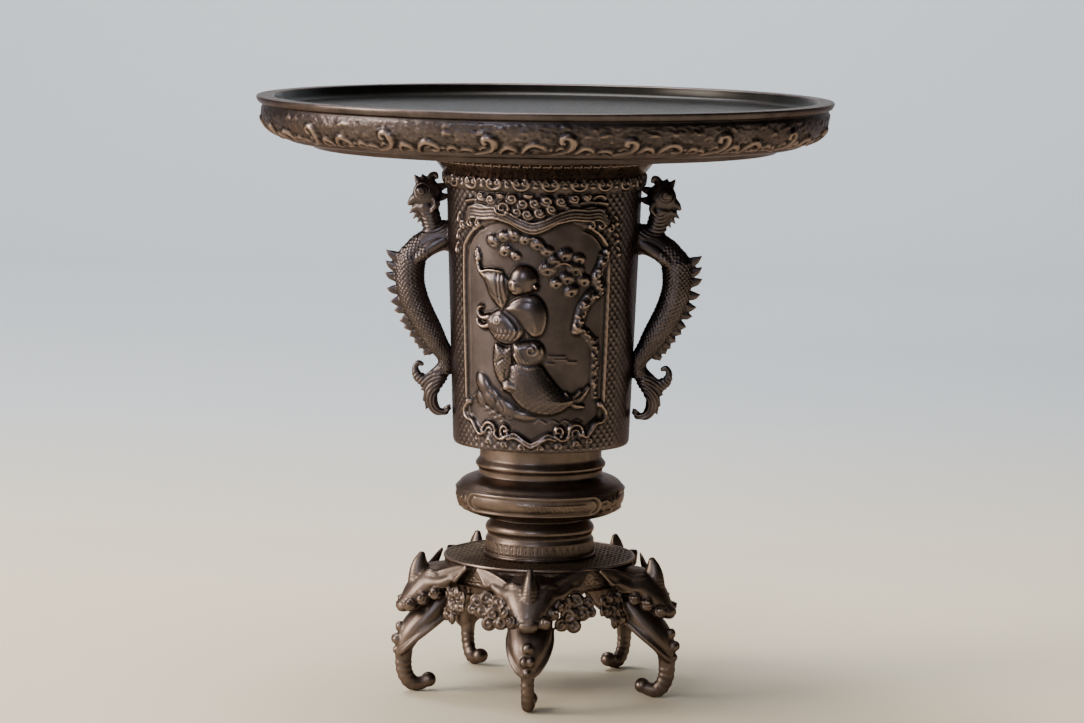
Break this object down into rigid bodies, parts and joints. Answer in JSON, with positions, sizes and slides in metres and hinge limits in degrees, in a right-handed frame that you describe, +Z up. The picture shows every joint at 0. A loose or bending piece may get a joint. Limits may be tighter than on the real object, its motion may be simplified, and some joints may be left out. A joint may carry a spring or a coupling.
{
  "type": "bronze usubata vase",
  "caption": "Cast bronze flower vase: wide shallow tray with a wave band on a relief cylinder, dragon-fish handles, turned stem and beast-mask feet.",
  "frame": {"origin": "centre of the vase's axis on the surface that its feet stand on", "axes": "+Z up along the vase's axis; -Y is the front, with the figure panel and one foot; +X is the side of the handle at the right seen from the front"},
  "size_m": [0.31, 0.31, 0.3217],
  "materials": {
    "dish_bronze": "cast bronze with a glossy dark brown patina and a rubbed lip",
    "body_bronze": "cast and chased bronze relief, dark brown patina rubbed on its high spots",
    "handle_bronze": "cast and chased bronze, dark brown patina",
    "stem_bronze": "turned and burnished bronze, dark brown patina",
    "foot_bronze": "cast bronze, dark brown patina"
  },
  "bodies": {
    "root": {"dish": "dish_bronze", "body": "body_bronze", "handle_left": "handle_bronze", "handle_right": "handle_bronze", "stem": "stem_bronze", "foot": "foot_bronze"}
  },
  "joints": []
}
